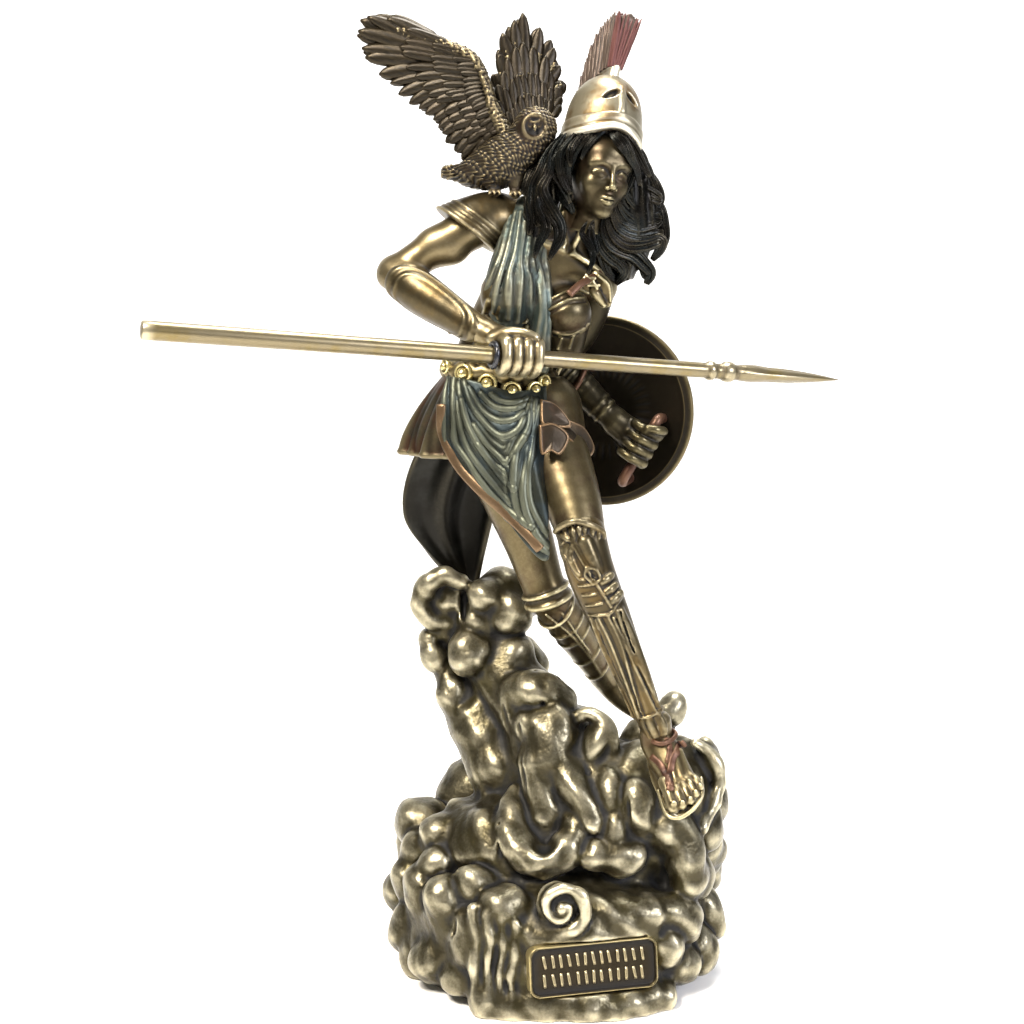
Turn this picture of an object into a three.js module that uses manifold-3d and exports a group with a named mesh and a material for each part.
// A cold-cast bronze figurine of a helmeted warrior goddess who steps down from a bank of cloud.
// An owl is on her right shoulder, a spear is in her right hand and a round shield is on her left arm.
// +X is the viewer's right, -Y is the front and +Z is up. The origin is the middle of the flat underside.
import * as THREE from "three";
import { mergeVertices } from "three/addons/utils/BufferGeometryUtils.js";
import Module from "manifold-3d";

const wasm = await Module();
wasm.setup();

// Driving sizes, in millimetres
const STATUE_HEIGHT = 285; // table to the tip of the helmet's crest
const GLUE_GAP = 0.3; // left all round where one casting is glued into another

const FOOT_RADIUS = 44; // flat underside of the cloud base
const RIM_RADIUS = 48; // widest part of the smooth mound, under the puffs
const RIM_HEIGHT = 9;
const MOUND_HEIGHT = 42;

const PLAQUE_WIDTH = 38;
const PLAQUE_HEIGHT = 14.5;
const PLAQUE_THICKNESS = 6;
const PLAQUE_CORNER = 3;

const SPEAR_LENGTH = 210.5; // butt to tip
const SPEAR_BUTT_RADIUS = 2.6;
const SPEAR_NECK_RADIUS = 2.25;
const SPEARHEAD_LENGTH = 39;
const SPEARHEAD_HALF_WIDTH = 3.1;
const SPEAR_YAW = 19.8; // degrees, tip away from the viewer
const SPEAR_DIP = 5; // degrees, tip down
const GRIP_CLEARANCE = 0.25; // spear in the fist's bore

const STOP_RING_SECTION = 0.8; // radius of the rubber ring's round section
const RING_CLEARANCE = 0.1; // ring on the shaft
const SHIELD_RADIUS = 29.5;
const SHIELD_THICKNESS = 1.8;
const SHIELD_DISH = 4.5; // depth of the hollow side
const SHIELD_BAND = 3; // flat rim
const SHIELD_BOSS_RADIUS = 7;
const SHIELD_BOSS_HEIGHT = 2.2;
const SHIELD_YAW = 20; // degrees, the viewer's right edge comes forward

// The free forms are drawn for a statue 285 mm tall and keep their shares of its height
const k = STATUE_HEIGHT / 285;
const at = (x, y, z) => new THREE.Vector3(x, y, z).multiplyScalar(k);
const radians = THREE.MathUtils.degToRad;
const FRONT = new THREE.Vector3(0, -1, 0);
const UP = new THREE.Vector3(0, 0, 1);
const FLUTE_DEPTH = 0.13; // share of the radius

// Joints of the pose
const pelvis = at(-14, 2, 172);
const waist = at(-15.5, 0, 188);
const ribs = at(-8, 1, 203);
const chest = at(-4, 1, 215);
const neckRoot = at(3, 0, 219);
const skull = at(12, -7, 239);
const shoulderR = at(-22, 0, 225);
const elbowR = at(-47.5, -2, 210.5);
const wristR = at(-21, -16, 194);
const fistR = at(-11.3, -21, 187.3);
const shoulderL = at(12, 4, 207);
const elbowL = at(-0.5, 14, 183);
const wristL = at(18, 11, 166);
const fistL = at(25.5, 8.5, 159.5);
const hipR = at(-20, 4, 167);
const kneeR = at(-2.5, -3, 115);
const ankleR = at(16, 17, 84);
const hipL = at(-4, -2, 168);
const kneeL = at(7.5, -25, 133);
const ankleL = at(28.5, -28, 80);

// The spear lies through the middle of the right fist, with the rubber ring against the fist's butt side
const FIST_WIDTH = 12.6 * k;
const spearAxis = new THREE.Vector3(1, 0, 0)
  .applyAxisAngle(new THREE.Vector3(0, 1, 0), radians(SPEAR_DIP))
  .applyAxisAngle(UP, radians(SPEAR_YAW));
const ringPlace = SPEAR_LENGTH / 2 - FIST_WIDTH / 2 - GLUE_GAP - STOP_RING_SECTION;

// A closed geometry as a solid: shared corners merged, collapsed faces dropped, faces outwards
function solidOf(geometry) {
  geometry.deleteAttribute("normal");
  geometry.deleteAttribute("uv");
  const merged = mergeVertices(geometry, 1e-4);
  const position = merged.getAttribute("position");
  const faces = [];
  let volume = 0;
  const corner = [new THREE.Vector3(), new THREE.Vector3(), new THREE.Vector3()];
  for (let i = 0; i < merged.index.count; i += 3) {
    const face = [0, 1, 2].map((j) => merged.index.getX(i + j));
    if (new Set(face).size < 3) continue;
    faces.push(face);
    face.forEach((vertex, j) => corner[j].fromBufferAttribute(position, vertex));
    volume += corner[0].dot(corner[1].clone().cross(corner[2]));
  }
  if (volume < 0) faces.forEach((face) => face.reverse());
  const vertProperties = new Float32Array(position.array);
  const triVerts = new Uint32Array(faces.flat());
  return new wasm.Manifold(new wasm.Mesh({ numProp: 3, vertProperties, triVerts }));
}

const fuse = (solids) => solids.reduce((whole, solid) => whole.add(solid));

// Moves every vertex of a geometry to where place() puts it
function bend(geometry, place) {
  const position = geometry.getAttribute("position");
  const vertex = new THREE.Vector3();
  for (let i = 0; i < position.count; i += 1) {
    vertex.fromBufferAttribute(position, i);
    const moved = place(vertex);
    position.setXYZ(i, moved.x, moved.y, moved.z);
  }
  return geometry;
}

// A limb, lock or fold: a lathed capsule bent along a curve, with radii in shares of the height.
// wide stretches it across the curve, seen from facing. flutes raise that many ridges along it.
// Round ends have one more ring than pointed ones.
function limb(points, radii, options) {
  const { sides = 7, rings = 3, wide = 1, facing = FRONT, flutes = 0, round = false, grow = 0 } = options;
  const path = new THREE.CatmullRomCurve3(points);
  const size = new THREE.SplineCurve(radii.map((r, i) => new THREE.Vector2(i, r * k)));
  const stations = [{ t: 0, out: -1, r: 0 }];
  if (round) stations.push({ t: 0, out: -0.65, r: 0.7 });
  for (let i = 0; i <= rings; i += 1) stations.push({ t: i / rings, out: 0, r: 1 });
  if (round) stations.push({ t: 1, out: 0.65, r: 0.7 });
  stations.push({ t: 1, out: 1, r: 0 });
  for (const station of stations) {
    station.radius = Math.max(size.getPoint(station.t).y, 0.1) + grow;
    station.along = path.getTangent(station.t);
    station.centre = path.getPoint(station.t).addScaledVector(station.along, station.out * station.radius);
    station.across = station.along.clone().cross(facing).normalize();
    station.through = station.across.clone().cross(station.along);
  }
  const profile = stations.map((station, i) => new THREE.Vector2(station.r, i));
  const place = (vertex) => {
    const station = stations[Math.round(vertex.y)];
    const across = wide * (station.radius - grow) + grow;
    const ridge = flutes > 0 ? 1 + FLUTE_DEPTH * Math.cos(flutes * Math.atan2(vertex.x, vertex.z)) : 1;
    return station.centre
      .clone()
      .addScaledVector(station.across, vertex.x * across * ridge)
      .addScaledVector(station.through, vertex.z * station.radius * ridge);
  };
  return solidOf(bend(new THREE.LatheGeometry(profile, flutes > 0 ? 2 * flutes : sides), place));
}

// An ellipsoid of faceted puffs, skull, breasts and studs. radii are shares of the height.
function ball(centre, radii, { detail = 1, turn = new THREE.Euler(), grow = 0 } = {}) {
  const geometry = new THREE.IcosahedronGeometry(1, detail);
  geometry.scale(radii[0] * k + grow, radii[1] * k + grow, radii[2] * k + grow);
  geometry.applyMatrix4(new THREE.Matrix4().makeRotationFromEuler(turn));
  geometry.translate(centre.x, centre.y, centre.z);
  return solidOf(geometry);
}

// Cloth: a bent plate. surface(u, v) is its middle, thick(u, v) its thickness in shares of the height.
function sheet(surface, { across, along, thick, grow = 0 }) {
  const step = 1e-3;
  const edge = (t) => (Math.abs(t) > 0.499 ? Math.sign(t) : 0);
  const place = (vertex) => {
    const [u, v] = [0.5 + vertex.x, 0.5 + vertex.y];
    const du = surface(u + step, v).sub(surface(u - step, v)).normalize();
    const dv = surface(u, v + step).sub(surface(u, v - step)).normalize();
    const normal = du.clone().cross(dv).normalize();
    return surface(u, v)
      .addScaledVector(normal, vertex.z * (thick(u, v) * k + 2 * grow))
      .addScaledVector(du, 1.5 * grow * edge(vertex.x))
      .addScaledVector(dv, 1.5 * grow * edge(vertex.y));
  };
  return solidOf(bend(new THREE.BoxGeometry(1, 1, 1, across, along, 1), place));
}

// A point on a curve, carried on straight past its ends
function onCurve(curve, t) {
  const inside = THREE.MathUtils.clamp(t, 0, 1);
  return curve.getPoint(inside).addScaledVector(curve.getTangent(inside), (t - inside) * curve.getLength());
}

// The turn that brings a lathed piece's own axis to lie along a direction
const LATHE_AXIS = new THREE.Vector3(0, 1, 0);
const turnTo = (way) => new THREE.Quaternion().setFromUnitVectors(LATHE_AXIS, way.clone().normalize());

const guide = (points) => points.map((point) => at(...point));
const curveThrough = (points) => new THREE.CatmullRomCurve3(guide(points));
const noise = (n) => {
  const value = Math.sin(n * 12.9898) * 43758.5453;
  return value - Math.floor(value);
};

// Cloud base: a low mound with a flat underside and two arms that rise from it, heaped with puffs.
// One arm leans left to carry the cape and thigh, the other carries the feet.
const PLAQUE_BEARING = 13; // degrees round from the front, towards +X
const PLAQUE_LEAN = 9; // degrees back
const PLAQUE_FOOT_HEIGHT = 7; // height of its lower edge

function puff(centre, size, i) {
  return ball(centre, [size, size, size], { turn: new THREE.Euler(i, i * 2, 0) });
}

function puffRing(count, ringRadius, height, puffSize, [from, to], seed) {
  const made = [];
  for (let i = 0; i < count; i += 1) {
    const bearing = radians(THREE.MathUtils.lerp(from, to, (i + 0.5) / count));
    const reach = ringRadius * (0.97 + 0.06 * noise(i + seed));
    const size = puffSize * (0.86 + 0.3 * noise(i * 3 + puffSize));
    const lift = 2.5 * (noise(i * 7 + height) - 0.5);
    const centre = new THREE.Vector3(Math.sin(bearing), -Math.cos(bearing), 0).multiplyScalar(reach);
    made.push(puff(centre.setZ((height + lift) * k), size, i));
  }
  return made;
}

// The tablet at the front
function plaque() {
  const half = PLAQUE_WIDTH / 2;
  const outline = new THREE.Shape();
  outline.moveTo(-half, 0);
  outline.lineTo(half, 0);
  outline.lineTo(half, PLAQUE_HEIGHT - PLAQUE_CORNER);
  outline.absarc(half - PLAQUE_CORNER, PLAQUE_HEIGHT - PLAQUE_CORNER, PLAQUE_CORNER, 0, Math.PI / 2);
  outline.absarc(PLAQUE_CORNER - half, PLAQUE_HEIGHT - PLAQUE_CORNER, PLAQUE_CORNER, Math.PI / 2, Math.PI);
  const settings = { depth: PLAQUE_THICKNESS, bevelEnabled: false, curveSegments: 3 };
  const plate = new THREE.ExtrudeGeometry(outline, settings);
  const stand = new THREE.Matrix4()
    .makeRotationZ(radians(PLAQUE_BEARING))
    .multiply(new THREE.Matrix4().makeTranslation(0, PLAQUE_THICKNESS - RIM_RADIUS, PLAQUE_FOOT_HEIGHT))
    .multiply(new THREE.Matrix4().makeRotationX(Math.PI / 2 - radians(PLAQUE_LEAN)));
  return solidOf(plate.applyMatrix4(stand));
}

// The puffs heaped on the mound's front and on the arms: middle and size.
// The mound's are drawn for a mound 48 mm in radius and 42 mm high.
const spread = RIM_RADIUS / 48;
const rise = MOUND_HEIGHT / 42;
const MOUND_PUFFS = [
  [-28, -11, 36, 12],
  [-3, -20, 43, 12],
  [-34, -18, 21, 13],
  [-18, -29, 26, 12],
  [5, -33, 29, 9],
  [20, -26, 40, 10],
  [37, -20, 42, 12],
  [39, -18, 24, 13],
  [27, -18, 32, 11.5],
  [-15, -10, 41, 12.5],
];
const ARM_PUFFS = [
  [23, -20, 56, 11.5],
  [40, -14, 60, 10.5],
  [33, 4, 67, 10.5],
  [15, -11, 60, 11],
  [-13, -3, 52, 10],
  [-33.5, 14, 110.5, 8],
  [-16, 14, 107, 11.5],
  [-30, 14, 92, 10.5],
  [-24, 12, 77, 11],
  [-12, 9, 90, 8.5],
  [-5, 3, 74, 12],
  [8, -5, 67, 11],
];

function cloudBase() {
  const profile = [
    [0, 0],
    [FOOT_RADIUS, 0],
    [RIM_RADIUS, RIM_HEIGHT * 0.45],
    [RIM_RADIUS, RIM_HEIGHT],
    [RIM_RADIUS * 0.88, MOUND_HEIGHT * 0.55],
    [RIM_RADIUS * 0.74, MOUND_HEIGHT * 0.85],
    [0, MOUND_HEIGHT],
  ].map(([radius, height]) => new THREE.Vector2(radius, height));
  const mound = new THREE.LatheGeometry(profile, 24).rotateX(Math.PI / 2);
  const table = new THREE.BoxGeometry(4 * RIM_RADIUS, 4 * RIM_RADIUS, RIM_RADIUS);
  const riser = guide([[8, 2, 34], [3, 4, 56], [-13, 9, 79], [-23, 14, 95], [-25, 14, 104]]);
  const step = guide([[14, -2, 34], [30, -14, 46], [34, -6, 62]]);
  return fuse([
    solidOf(mound),
    plaque(),
    limb(riser, [24, 18, 12, 10, 9], { rings: 4 }),
    limb(step, [15, 13, 8], { rings: 2 }),
    ...MOUND_PUFFS.map(([x, y, z, size], i) => {
      return puff(new THREE.Vector3(x * spread, y * spread, z * rise), (size * spread) / k, i);
    }),
    ...ARM_PUFFS.map(([x, y, z, size], i) => puff(at(x, y, z), size, i)),
    ...puffRing(5, RIM_RADIUS - 10 * k, 14, 16, [88, 284], 38),
    ...puffRing(3, RIM_RADIUS - 19 * k, 32, 14.5, [118, 240], 29),
    ...puffRing(1, 13 * k, 52, 14, [175, 175], 13),
  ]).subtract(solidOf(table.translate(0, 0, -RIM_RADIUS / 2)));
}

// Legs. The rear one is in a boot with a cuff, the front one in a greave with an open sandal.
function legs(grow) {
  const slope = new THREE.Vector3(0.2, -0.6, 0.75);
  const tips = [0, 1, 2, 3, 4].map((i) => at(33.4 + 2.5 * i, -42.5 + 0.9 * i, 60.8 + 0.7 * i));
  const toeRoot = at(36, -34, 67.5);
  const boot = [at(15, 19, 84), at(22, 19, 78), at(28, 17, 71)];
  const instep = [at(29, -25, 79), at(33, -31, 71), at(37, -37, 64.5)];
  const sole = [at(30, -23, 75), at(34.5, -31, 67), at(39, -41, 59.5)];
  const joint = (tip) => toeRoot.clone().lerp(tip, 0.45);
  const toe = (tip) => limb([joint(tip), tip], [1.8, 1.5], { sides: 5, rings: 1, grow });
  return [
    limb([hipR, at(-12.5, 0, 143), kneeR], [12, 8.4, 6.4], { grow }),
    limb([kneeR, at(7, 7, 100), ankleR], [6.6, 6.2, 4], { grow }),
    limb([at(-4, -3.5, 117.5), at(-0.6, -2, 112)], [7.4, 7.2], { rings: 1, grow }),
    limb(boot, [4.2, 4.2, 2.8], { rings: 2, round: true, grow }),
    limb([hipL, at(4, -16, 151), kneeL], [12, 8.6, 6.6], { grow }),
    limb([kneeL, at(15, -27, 113), at(22.5, -28, 95), ankleL], [6.7, 6.5, 4.9, 3.6], { rings: 4, grow }),
    limb([at(7, -27, 138), at(9, -28.5, 128), at(12, -29, 120)], [5.8, 6.4, 5], { rings: 2, grow }),
    limb(instep, [4.2, 4.2, 3], { rings: 2, wide: 1.35, facing: slope, grow }),
    limb(sole, [3.2, 3, 2.4], { rings: 2, wide: 2, facing: slope, grow }),
    ...tips.map(toe),
  ];
}

// Body, with the pleated cloth that falls from the right shoulder and the plate on the left breast
function torso(grow) {
  const pleats = guide([[-15, -6, 229], [-12.5, -12, 214], [-12.5, -13.5, 201], [-14, -8, 187]]);
  return [
    limb([pelvis, waist, ribs, chest], [11.4, 9, 9.8, 8.4], { rings: 4, wide: 1.45, round: true, grow }),
    limb([shoulderR, chest, shoulderL], [6.8, 8.4, 6.4], { rings: 2, round: true, grow }),
    limb([neckRoot, at(8, -5, 230)], [5.6, 4.8], { rings: 1, grow }),
    ball(at(-15.5, -10, 205), [7.4, 7, 7.6], { grow }),
    ball(at(3, -8, 198.5), [7.6, 7.4, 7.8], { grow }),
    limb(pleats, [3.6, 4.2, 4.2, 3.6], { wide: 2, flutes: 6, grow }),
  ];
}

function arms(grow) {
  const sleeve = [at(-17, -1, 227), at(-25, -1.5, 223.5), at(-31, -2, 221)];
  return [
    limb(sleeve, [7.5, 9.4, 10], { sides: 9, rings: 2, round: true, grow }),
    limb([shoulderR, at(-37, -1.5, 217), elbowR], [6.2, 5.4, 4.9], { rings: 2, grow }),
    limb([elbowR, at(-38, -8, 204.5), wristR], [5.6, 6.2, 4], { rings: 3, round: true, grow }),
    limb([shoulderL, at(8, 11, 194), elbowL], [6.2, 5.4, 4.9], { rings: 2, grow }),
    limb([elbowL, at(9, 13, 175), wristL], [5.4, 5, 3.8], { rings: 3, round: true, grow }),
    limb([at(9, -2, 215), at(15, -3, 208), at(18, -3, 201)], [4, 5, 2.2], { sides: 6, rings: 2, grow }),
  ];
}

// A closed fist round a bar through centre. Angles go round the bar from front towards over.
function fist(centre, bar, front, wrist, [from, to], grow) {
  const over = front.clone().cross(bar).normalize();
  const round = (degrees, reach) => {
    const out = front.clone().multiplyScalar(Math.cos(radians(degrees)));
    return out.addScaledVector(over, Math.sin(radians(degrees))).multiplyScalar(reach * k);
  };
  const fingers = (u, v) => {
    const along = bar.clone().multiplyScalar((u - 0.5) * FIST_WIDTH);
    return round(THREE.MathUtils.lerp(from, to, v), 4.6).add(along).add(centre);
  };
  const gaps = (u) => 4.2 - 1.5 * Math.cos(Math.PI * 4 * u) ** 2;
  const palm = centre.clone().add(round(from + (from > to ? 30 : -30), 3));
  return [
    limb([wrist, palm], [3.7, 4.9], { rings: 1, wide: 1.25, facing: front, round: true, grow }),
    sheet(fingers, { across: 8, along: 3, thick: gaps, grow }),
  ];
}

// Belt with round studs, flared skirt, its leather tabs, the swag over the thighs, and the cape behind
const beltCentre = at(-16.8, 0.5, 181);
const BELT_TILT = new THREE.Euler(radians(-4), radians(5), 0);
const BELT_REACH = [15.6, 12];
const STUD_COUNT = 6; // over the front and her right side

function aroundHips(degrees, reachX, reachY, height) {
  const bearing = radians(degrees);
  return new THREE.Vector3(-Math.sin(bearing) * reachX * k, -Math.cos(bearing) * reachY * k, height * k);
}

function belt(grow) {
  const band = new THREE.TorusGeometry(1, 0.16, 4, 14).scale(BELT_REACH[0] * k, BELT_REACH[1] * k, 16 * k);
  const tilt = new THREE.Matrix4().makeRotationFromEuler(BELT_TILT).setPosition(beltCentre);
  const made = [solidOf(band.applyMatrix4(tilt))];
  const domePoints = [[0, -1.6], [2.6, -1.6], [2.6, 0.6], [0, 2.1]];
  const dome = domePoints.map(([radius, height]) => new THREE.Vector2(radius * k, height * k));
  for (let i = 0; i < STUD_COUNT; i += 1) {
    const out = aroundHips(-52 + i * 25, BELT_REACH[0] + 1.8, BELT_REACH[1] + 1.8, 0);
    const stud = new THREE.LatheGeometry(dome, 6).applyQuaternion(turnTo(out));
    made.push(solidOf(stud.translate(out.x, out.y, out.z).applyMatrix4(tilt)));
  }
  return grow > 0 ? [made[0]] : made;
}

function skirt(grow) {
  const hem = (bearing) => {
    const left = Math.max(0, Math.sin(radians(bearing)));
    const right = Math.max(0, -Math.sin(radians(bearing)));
    return { x: 20 + 8 * left ** 2 + 4 * right, y: 15 + 2 * left, z: -24 + 3 * right, pleat: 1.4 };
  };
  const surface = (u, v) => {
    const bearing = THREE.MathUtils.lerp(24, 256, u);
    const low = hem(bearing);
    const swell = 1 - Math.abs(1 - v) ** 1.6;
    const wave = low.pleat * v * Math.sin(radians(bearing * 9));
    const x = THREE.MathUtils.lerp(BELT_REACH[0] - 0.5, low.x, swell) + wave;
    const y = THREE.MathUtils.lerp(BELT_REACH[1] - 0.5, low.y, swell) + wave;
    return aroundHips(bearing, x, y, low.z * v).add(beltCentre);
  };
  return sheet(surface, { across: 14, along: 2, thick: () => 2, grow });
}

function tabs(grow) {
  const made = [];
  for (const bearing of [262, 288, 314]) {
    const top = aroundHips(bearing, BELT_REACH[0] - 1, BELT_REACH[1] - 1, -2).add(beltCentre);
    const middle = aroundHips(bearing + 1, 20, 16, -12).add(beltCentre);
    const tip = aroundHips(bearing + 2, 24, 17, -22).add(beltCentre);
    const facing = aroundHips(bearing, 1, 1, 0);
    made.push(limb([top, middle, tip], [1.7, 1.8, 1.6], { sides: 6, rings: 2, wide: 3, facing, grow }));
  }
  return made;
}

function swag(grow) {
  const topEdge = curveThrough([[-32, -8, 181], [-24, -13, 180], [-13, -15, 177], [-3, -12, 178]]);
  const fallsTo = [[-36, -9, 160], [-27, -16, 152], [-15, -21, 141], [-4, -26, 129.5]];
  const lowEdge = curveThrough([...fallsTo, [1, -22, 148], [0, -17, 168]]);
  const surface = (u, v) => {
    const top = onCurve(topEdge, u);
    const low = onCurve(lowEdge, u);
    const belly = Math.sin(Math.PI * v) * 2.5 + 1.3 * v * Math.sin(u * 30);
    return top.lerp(low, v).add(at(0, -belly, 0));
  };
  return sheet(surface, { across: 10, along: 2, thick: () => 2.4, grow });
}

function cape(grow) {
  const sideL = [[-31, 8, 174], [-44, 14, 152], [-47, 17, 136], [-40, 18, 124], [-31, 17, 115]];
  const left = curveThrough(sideL);
  const sideR = [[-12, 14, 174], [-16, 17, 152], [-19, 18, 136], [-22, 18, 123], [-24, 17, 114]];
  const right = curveThrough(sideR);
  const surface = (u, v) => {
    const fold = 2.4 * Math.sin(u * 13) * (1 - v * v) + 3 * Math.sin(Math.PI * u);
    return onCurve(left, v).lerp(onCurve(right, v), u).add(at(0, fold, 0));
  };
  return sheet(surface, { across: 6, along: 3, thick: () => 2.8, grow });
}

// Head: everything in its own frame, forward -Y and up +Z about the middle of the skull
const HEAD_TURN = new THREE.Euler(radians(6), radians(9), radians(20), "ZYX");
const headFrame = new THREE.Matrix4().makeRotationFromEuler(HEAD_TURN).setPosition(skull);
const onHead = (x, y, z) => at(x, y, z).applyMatrix4(headFrame.clone().setPosition(0, 0, 0)).add(skull);

function head(grow) {
  const turn = HEAD_TURN;
  return [
    ball(skull, [9, 11, 11.5], { turn, grow }),
    ball(onHead(0, -4.2, -5.5), [7, 6.6, 8.2], { turn, grow }),
    limb([onHead(0, -10.2, 0.5), onHead(0, -12.2, -4.6)], [1.2, 1.7], { sides: 5, rings: 1, grow }),
  ];
}

const HELMET_TILT = new THREE.Euler(radians(-11), radians(13), radians(20), "ZYX");
const helmetFrame = new THREE.Matrix4().makeRotationFromEuler(HELMET_TILT).setPosition(at(12.6, -5, 248.6));
const curveOf = (points) => new THREE.CatmullRomCurve3(points.map(([forward, up]) => at(0, -forward, up)));

// A plate in the helmet's middle plane, between two curves given as forward and up
function comb(inner, outer, across, thick) {
  const [low, high] = [curveOf(inner), curveOf(outer)];
  const surface = (u, v) => {
    return onCurve(low, u).lerp(onCurve(high, u), v).applyMatrix4(helmetFrame);
  };
  return sheet(surface, { across, along: 1, thick });
}

function helmet() {
  const profile = [
    [0, -4],
    [10.4, -4],
    [12.2, -0.8],
    [12, 1.6],
    [11.2, 2.4],
    [10.6, 9],
    [7.6, 15],
    [0, 18.2],
  ].map(([radius, height]) => new THREE.Vector2(radius * k, height * k));
  const dome = new THREE.LatheGeometry(profile, 12).rotateX(Math.PI / 2).scale(1, 1.12, 1);
  const slots = [-1, 1].map((side) => {
    const slot = new THREE.BoxGeometry(4.2 * k, 3 * k, 1.7 * k).rotateY(radians(side * 14));
    return solidOf(slot.translate(side * 3.9 * k, -11.8 * k, 9 * k).applyMatrix4(helmetFrame));
  });
  const holder = comb([[3, 16], [-5, 16], [-12, 11]], [[4, 21.5], [-5, 21], [-14, 14]], 4, () => 3.2);
  const brushLow = [[3.5, 20.5], [-4, 20.5], [-11, 17], [-14.5, 11]];
  const brushHigh = [[9, 34.8], [-2, 36.9], [-12, 32], [-18.5, 19]];
  const shell = solidOf(dome.applyMatrix4(helmetFrame)).subtract(fuse(slots));
  return [shell, holder, comb(brushLow, brushHigh, 6, (u, v) => 4.2 + 3.4 * v)];
}

function hair(grow) {
  const back = guide([[14, 0, 249], [11, 4, 236], [7, 7, 223], [4, 9, 209]]);
  const blown = guide([[20, -4, 245], [21, -2, 232], [20.5, 1, 221], [19, 3, 211.5]]);
  const curl = blown.slice(2).map((point) => point.clone().add(at(6, 1, -1)));
  const fall = guide([[3, -7, 248], [-2, -8, 237], [-6, -8, 225], [-9.5, -12, 210]]);
  return [
    limb(back, [11, 11.5, 10.5, 6], { rings: 3, flutes: 6, grow }),
    limb(blown, [4.6, 7.6, 8.4, 4.4], { rings: 3, flutes: 5, grow }),
    limb(curl, [4.6, 1.6], { rings: 1, flutes: 3, grow }),
    limb(fall, [4, 5.6, 5.4, 2], { rings: 3, flutes: 5, grow }),
  ];
}

// Straps behind the shield: a loop round the forearm and a rod in the fist, their ends set in the shield
const shieldNormal = FRONT.clone().applyAxisAngle(UP, radians(-SHIELD_YAW));
const shieldCentre = at(14.3, 20, 168);
const gripTop = at(31.2, 9.5, 166.2);
const gripFoot = at(20.9, 10.5, 147.4);

function toShield(point, depth) {
  const off = point.clone().sub(shieldCentre);
  const height = off.dot(shieldNormal);
  const reach = off.clone().addScaledVector(shieldNormal, -height).length();
  const dish = -SHIELD_DISH * (1 - Math.min(1, reach / (SHIELD_RADIUS - SHIELD_BAND)) ** 2);
  return point.clone().addScaledVector(shieldNormal, dish - depth - height);
}

function straps(grow) {
  const over = [at(9.5, 12, 182), at(7, 7.5, 178), at(2.5, 7.5, 171), at(1.5, 13, 166)];
  const rod = [toShield(gripTop, 0.8), gripTop, gripFoot, toShield(gripFoot, 0.8)];
  const loop = [toShield(over[0], 0.8), ...over, toShield(over[3], 0.8)];
  return [
    limb(rod, [1.7, 1.7, 1.7, 1.7], { sides: 5, rings: 5, grow }),
    limb(loop, [1.3, 1.3, 1.3, 1.3, 1.3, 1.3], { sides: 5, rings: 5, wide: 1.6, grow }),
  ];
}

function figure(grow) {
  const gripBar = gripTop.clone().sub(gripFoot).normalize();
  const overSpear = FRONT.clone().addScaledVector(spearAxis, spearAxis.y).normalize();
  return fuse([
    ...legs(grow),
    ...torso(grow),
    ...arms(grow),
    ...fist(fistR, spearAxis, overSpear, wristR, [70, -120], grow),
    ...fist(fistL, gripBar, shieldNormal, wristL, [-110, 75], grow),
    ...belt(grow),
    skirt(grow),
    ...tabs(grow),
    swag(grow),
    cape(grow),
    ...head(grow),
    ...hair(grow),
    ...straps(grow),
    ...helmet(),
  ]);
}

// The owl perches on her right shoulder with raised wings
function owl() {
  const wing = (lead, trail, feathers) => {
    const [front, back] = [curveThrough(lead), curveThrough(trail)];
    const surface = (u, v) => {
      const notch = 1 - 0.1 * Math.abs(Math.cos(Math.PI * feathers * u)) * v;
      return onCurve(front, u).lerp(onCurve(back, u), v * notch);
    };
    const thick = (u, v) => 3.6 - 1.6 * v - 0.8 * u;
    return sheet(surface, { across: feathers * 2, along: 1, thick });
  };
  const nearLead = [[-14, -4, 249], [-20, -2, 266], [-28, 0, 274], [-41, 1, 278.5], [-56, 2, 283]];
  const nearTrail = [[-22, 0, 243], [-31, 1, 249], [-39, 1, 258], [-50, 2, 266], [-58, 2, 278]];
  const farLead = [[-5, -1, 250], [2, 7, 262], [0.5, 8, 273], [-4, 7, 280], [-9.5, 6, 285]];
  const farTrail = [[-13, 2, 250], [-18.5, 3, 261], [-18, 4, 271], [-15, 5, 278], [-11.5, 6, 284]];
  const neck = at(-8, -7, 248);
  return fuse([
    limb([at(-25, 1, 239.5), at(-15.5, -4, 242.5), neck], [4.4, 7.4, 5.6], { rings: 3, round: true }),
    ball(at(-6.4, -7.5, 251.5), [6.4, 6.2, 6.2]),
    limb([at(-23, 2, 239), at(-31.5, 4, 238.7)], [3.2, 2.2], { sides: 5, rings: 1, wide: 1.3, facing: UP }),
    limb([at(-18, -5, 238), at(-18, -5, 233)], [2.4, 2.2], { sides: 5, rings: 1 }),
    limb([at(-12, -7, 238), at(-12, -7, 232.5)], [2.4, 2.2], { sides: 5, rings: 1 }),
    limb([at(-6, -12.6, 251.8), at(-5.8, -13.8, 250)], [1, 0.5], { sides: 5, rings: 1 }),
    wing(nearLead, nearTrail, 8),
    wing(farLead, farTrail, 6),
  ]);
}

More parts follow.
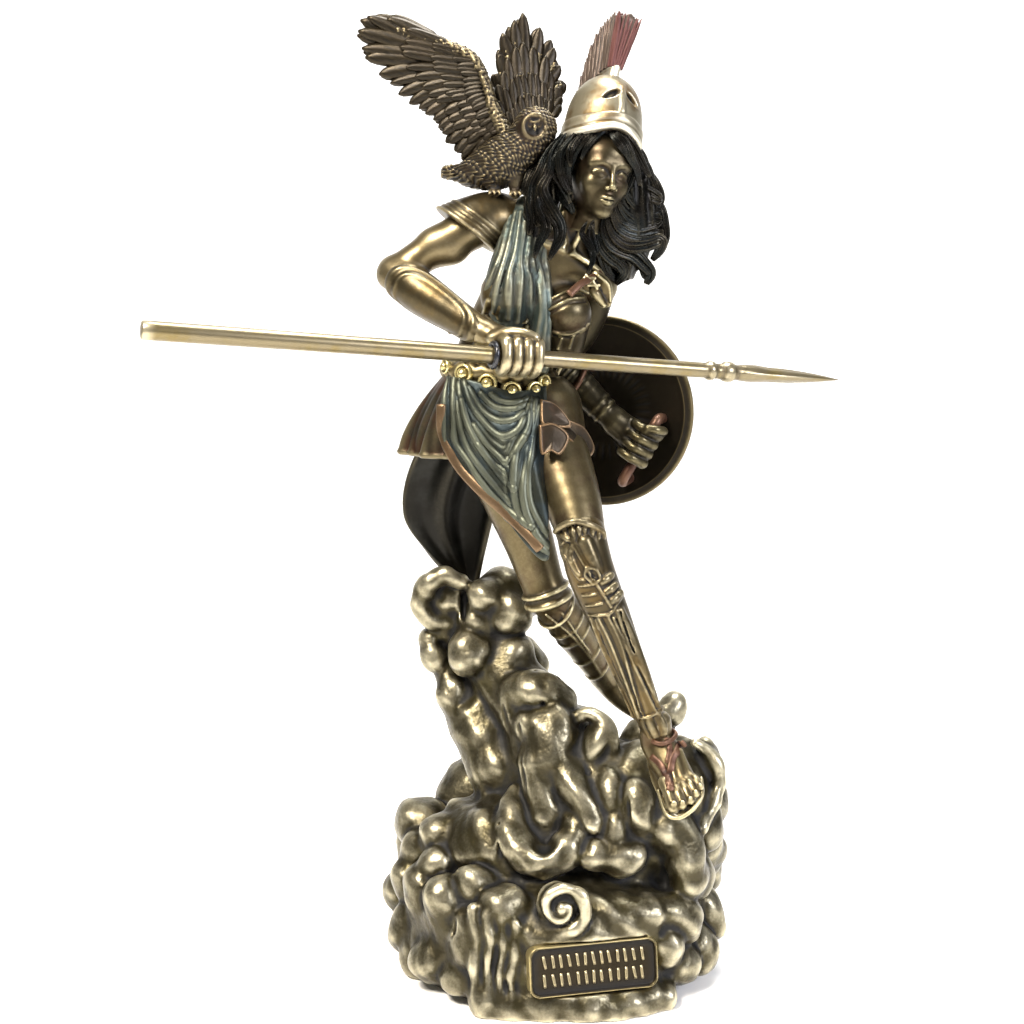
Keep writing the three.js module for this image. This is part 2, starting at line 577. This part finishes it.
// Shield: dished towards the arm, with a flat rim and a boss on its outer side
function shield() {
  const bowl = SHIELD_RADIUS - SHIELD_BAND;
  const outer = (radius) => -SHIELD_THICKNESS - SHIELD_DISH * (1 - (radius / bowl) ** 2);
  const profile = [
    [0, outer(0) - SHIELD_BOSS_HEIGHT],
    [SHIELD_BOSS_RADIUS, outer(SHIELD_BOSS_RADIUS)],
    [bowl * 0.6, outer(bowl * 0.6)],
    [bowl, -SHIELD_THICKNESS],
    [SHIELD_RADIUS, -SHIELD_THICKNESS],
    [SHIELD_RADIUS, 0],
    [bowl, 0],
    [bowl * 0.6, -SHIELD_DISH * 0.64],
    [0, -SHIELD_DISH],
  ].map(([radius, height]) => new THREE.Vector2(radius, height));
  const disc = new THREE.LatheGeometry(profile, 22).applyQuaternion(turnTo(shieldNormal));
  return solidOf(disc.translate(shieldCentre.x, shieldCentre.y, shieldCentre.z));
}

// Spear: one turned rod with a beaded collar and a leaf head, lying through the right fist
const spearButt = fistR.clone().addScaledVector(spearAxis, -SPEAR_LENGTH / 2);

function alongSpear(geometry) {
  return geometry.applyQuaternion(turnTo(spearAxis)).translate(spearButt.x, spearButt.y, spearButt.z);
}

function spear() {
  const neck = SPEAR_LENGTH - SPEARHEAD_LENGTH;
  const collar = SPEAR_NECK_RADIUS * 1.3;
  const profile = [
    [0, 0],
    [SPEAR_BUTT_RADIUS, 0],
    [SPEAR_NECK_RADIUS, neck - 2],
    [collar, neck],
    [collar, neck + 2.5],
    [SPEAR_NECK_RADIUS * 1.05, neck + 4],
    [SPEARHEAD_HALF_WIDTH, neck + SPEARHEAD_LENGTH * 0.3],
    [SPEARHEAD_HALF_WIDTH * 0.85, neck + SPEARHEAD_LENGTH * 0.6],
    [SPEARHEAD_HALF_WIDTH * 0.45, neck + SPEARHEAD_LENGTH * 0.88],
    [0, SPEAR_LENGTH],
  ].map(([radius, height]) => new THREE.Vector2(radius, height));
  return solidOf(alongSpear(new THREE.LatheGeometry(profile, 10)));
}

const shaftAtRing = THREE.MathUtils.lerp(SPEAR_BUTT_RADIUS, SPEAR_NECK_RADIUS, ringPlace / SPEAR_LENGTH);
const ringReach = shaftAtRing + RING_CLEARANCE + STOP_RING_SECTION;
const BORE_SIDES = 8;
const boreRadius = (SPEAR_BUTT_RADIUS + GRIP_CLEARANCE) / Math.cos(Math.PI / BORE_SIDES);

// What the fist and wrist leave free for the shaft and the ring
function spearBore() {
  const bore = new THREE.CylinderGeometry(boreRadius, boreRadius, SPEAR_LENGTH, BORE_SIDES);
  const seatRadius = ringReach + STOP_RING_SECTION + GLUE_GAP;
  const seatLength = 2 * (STOP_RING_SECTION + GLUE_GAP);
  const seat = new THREE.CylinderGeometry(seatRadius, seatRadius, seatLength, 12);
  return fuse([
    solidOf(alongSpear(bore.translate(0, SPEAR_LENGTH / 2, 0))),
    solidOf(alongSpear(seat.translate(0, ringPlace, 0))),
  ]);
}

function stopRing() {
  const ring = new THREE.TorusGeometry(ringReach, STOP_RING_SECTION, 6, 12);
  return solidOf(alongSpear(ring.rotateX(Math.PI / 2).translate(0, ringPlace, 0)));
}

function finish(color, roughness, metalness) {
  return new THREE.MeshStandardMaterial({ color, roughness, metalness });
}

function meshOf(name, solid, material) {
  const { numProp, vertProperties, triVerts } = solid.getMesh();
  const corners = new Float32Array((vertProperties.length / numProp) * 3);
  for (let i = 0; i * numProp < vertProperties.length; i += 1) {
    corners.set(vertProperties.subarray(i * numProp, i * numProp + 3), i * 3);
  }
  const geometry = new THREE.BufferGeometry();
  geometry.setAttribute("position", new THREE.BufferAttribute(corners, 3));
  geometry.setIndex(new THREE.BufferAttribute(new Uint32Array(triVerts), 1));
  const mesh = new THREE.Mesh(geometry, material);
  mesh.name = name;
  return mesh;
}

const bored = (solid) => solid.subtract(spearBore());
const socket = figure(GLUE_GAP);
const statue = new THREE.Group();
statue.add(meshOf("cloud_base", cloudBase().subtract(socket), finish(0x7d6a48, 0.45, 0.7)));
statue.add(meshOf("figure", bored(figure(0)), finish(0x9a8254, 0.4, 0.75)));
statue.add(meshOf("owl", owl().subtract(socket), finish(0x6f5a3c, 0.5, 0.7)));
statue.add(meshOf("shield", shield().subtract(socket), finish(0x5a4c30, 0.5, 0.7)));
statue.add(meshOf("spear", spear(), finish(0xb59a62, 0.35, 0.85)));
statue.add(meshOf("spear_stop_ring", stopRing(), finish(0x16171a, 0.55, 0)));

export default statue;
